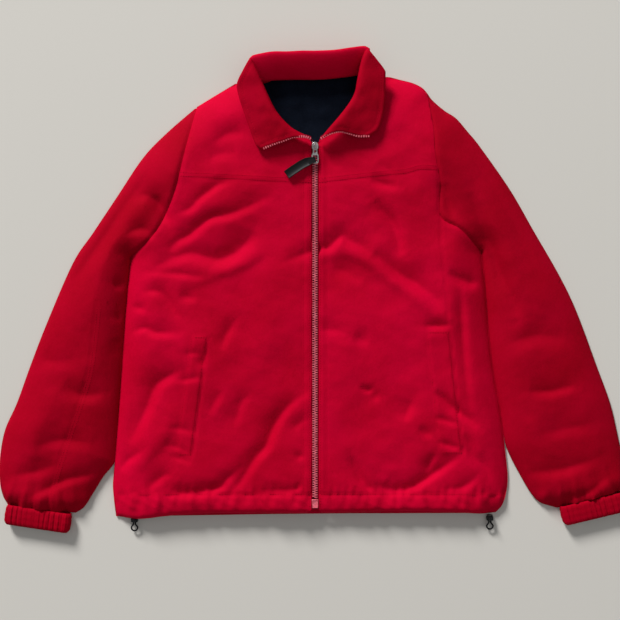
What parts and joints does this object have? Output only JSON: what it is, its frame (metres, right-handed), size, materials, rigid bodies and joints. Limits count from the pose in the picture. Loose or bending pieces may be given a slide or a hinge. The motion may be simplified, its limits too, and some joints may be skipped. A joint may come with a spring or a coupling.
{
  "type": "foul weather jacket",
  "caption": "Zipped hip-length foul weather jacket laid flat on its back, collar folded open, with slash pockets, elastic cuffs and a hem drawcord with cord locks.",
  "frame": {"origin": "on the floor under the middle of the jacket's outline, the cord loops and locks left out", "axes": "+X to the right as seen from the front, +Y from hem to collar, +Z out of the jacket's front, away from the floor"},
  "size_m": [0.9912, 0.7636, 0.043],
  "materials": {
    "shell": "matt coated woven nylon",
    "lining": "brushed knit fleece",
    "facing": "woven tape",
    "zip_plastic": "moulded, semi-gloss",
    "zip_metal": "worn plated metal",
    "tab_rubber": "satin",
    "eyelet_metal": "blackened metal",
    "cord": "braided elastic cord",
    "lock_plastic": "moulded, matt",
    "elastic": "woven elastic"
  },
  "bodies": {
    "body": {"back_panel": "shell", "back_hem": "shell", "back_lining": "lining", "hem_drawcord": "cord", "collar_back": "shell", "side_panel_left": "shell", "shoulder_yoke_left": "shell", "side_hem_left": "shell", "sleeve_cap_left": "shell", "hem_eyelet_left": "eyelet_metal", "cord_loop_left": "cord", "side_panel_right": "shell", "shoulder_yoke_right": "shell", "side_hem_right": "shell", "sleeve_cap_right": "shell", "hem_eyelet_right": "eyelet_metal", "cord_loop_right": "cord"},
    "front_left": {"front_panel_left": "shell", "front_yoke_left": "shell", "front_hem_left": "shell", "front_lining_left": "lining", "zip_facing_left": "facing", "zip_tape_left": "facing", "zip_teeth_left": "zip_plastic", "pocket_bag_left": "lining", "pocket_welt_left": "shell", "zip_box": "zip_plastic"},
    "collar_left": {"collar_leaf_left": "shell", "collar_teeth_left": "zip_plastic"},
    "sleeve_left": {"sleeve_top_left": "shell", "sleeve_under_left": "shell"},
    "forearm_left": {"forearm_top_left": "shell", "forearm_under_left": "shell", "cuff_left": "shell", "cuff_elastic_left": "elastic"},
    "lock_left": {"cord_lock_left": "lock_plastic"},
    "button_left": {"lock_button_left": "lock_plastic"},
    "front_right": {"front_panel_right": "shell", "front_yoke_right": "shell", "front_hem_right": "shell", "front_lining_right": "lining", "zip_facing_right": "facing", "zip_tape_right": "facing", "zip_teeth_right": "zip_plastic", "pocket_bag_right": "lining", "pocket_welt_right": "shell", "zip_pin": "zip_plastic"},
    "collar_right": {"collar_leaf_right": "shell", "collar_teeth_right": "zip_plastic"},
    "sleeve_right": {"sleeve_top_right": "shell", "sleeve_under_right": "shell"},
    "forearm_right": {"forearm_top_right": "shell", "forearm_under_right": "shell", "cuff_right": "shell", "cuff_elastic_right": "elastic"},
    "lock_right": {"cord_lock_right": "lock_plastic"},
    "button_right": {"lock_button_right": "lock_plastic"},
    "slider": {"zip_slider": "zip_metal"},
    "pull": {"zip_pull": "zip_metal"},
    "tab": {"pull_tab": "tab_rubber"}
  },
  "joints": [
    {"name": "front_left_open", "type": "hinge", "parent": "body", "child": "front_left", "pos_m": [-0.122, 0.35, 0.034], "axis": [-0.1808, -0.9834, -0.0181], "range_deg": [0, 110]},
    {"name": "collar_left_lift", "type": "hinge", "parent": "front_left", "child": "collar_left", "pos_m": [-0.0526, 0.30115, 0.044], "axis": [-0.6079, 0.794, 0], "range_deg": [0, 70]},
    {"name": "sleeve_left_swing", "type": "hinge", "parent": "body", "child": "sleeve_left", "pos_m": [-0.3645, 0.068, 0.01], "axis": [0, 0, -1], "range_deg": [0, 25]},
    {"name": "elbow_left_fold", "type": "hinge", "parent": "sleeve_left", "child": "forearm_left", "pos_m": [-0.36475, -0.07875, 0.028], "axis": [-0.9385, 0.3453, 0], "range_deg": [0, 100]},
    {"name": "lock_left_slide", "type": "slide", "parent": "body", "child": "lock_left", "axis": [0, -1, 0], "range_m": [0, 0.0018]},
    {"name": "button_left_press", "type": "slide", "parent": "lock_left", "child": "button_left", "axis": [0, 0, -1], "range_m": [0, 0.0018], "stiffness_N_per_m": 150},
    {"name": "front_right_open", "type": "hinge", "parent": "body", "child": "front_right", "pos_m": [0.122, 0.35, 0.034], "axis": [-0.1808, 0.9834, 0.0181], "range_deg": [0, 110]},
    {"name": "collar_right_lift", "type": "hinge", "parent": "front_right", "child": "collar_right", "pos_m": [0.04415, 0.30805, 0.044], "axis": [-0.4707, -0.8823, 0], "range_deg": [0, 70]},
    {"name": "sleeve_right_swing", "type": "hinge", "parent": "body", "child": "sleeve_right", "pos_m": [0.352, 0.0785, 0.01], "axis": [0, 0, 1], "range_deg": [0, 25]},
    {"name": "elbow_right_fold", "type": "hinge", "parent": "sleeve_right", "child": "forearm_right", "pos_m": [0.35025, -0.08, 0.028], "axis": [-0.9398, -0.3417, 0], "range_deg": [0, 100]},
    {"name": "lock_right_slide", "type": "slide", "parent": "body", "child": "lock_right", "axis": [0, -1, 0], "range_m": [0, 0.0018]},
    {"name": "button_right_press", "type": "slide", "parent": "lock_right", "child": "button_right", "axis": [0, 0, -1], "range_m": [0, 0.0018], "stiffness_N_per_m": 150},
    {"name": "zip_slide", "type": "slide", "parent": "front_left", "child": "slider", "axis": [0, -0.9999, -0.0132], "range_m": [0, 0.54]},
    {"name": "pull_flip", "type": "hinge", "parent": "slider", "child": "pull", "pos_m": [0, 0.2247, 0.02891], "axis": [-1, 0, 0], "range_deg": [0, 100]},
    {"name": "tab_swing", "type": "hinge", "parent": "pull", "child": "tab", "pos_m": [0, 0.2047, 0.03051], "axis": [0, 0, 1], "range_deg": [-20, 110]}
  ]
}
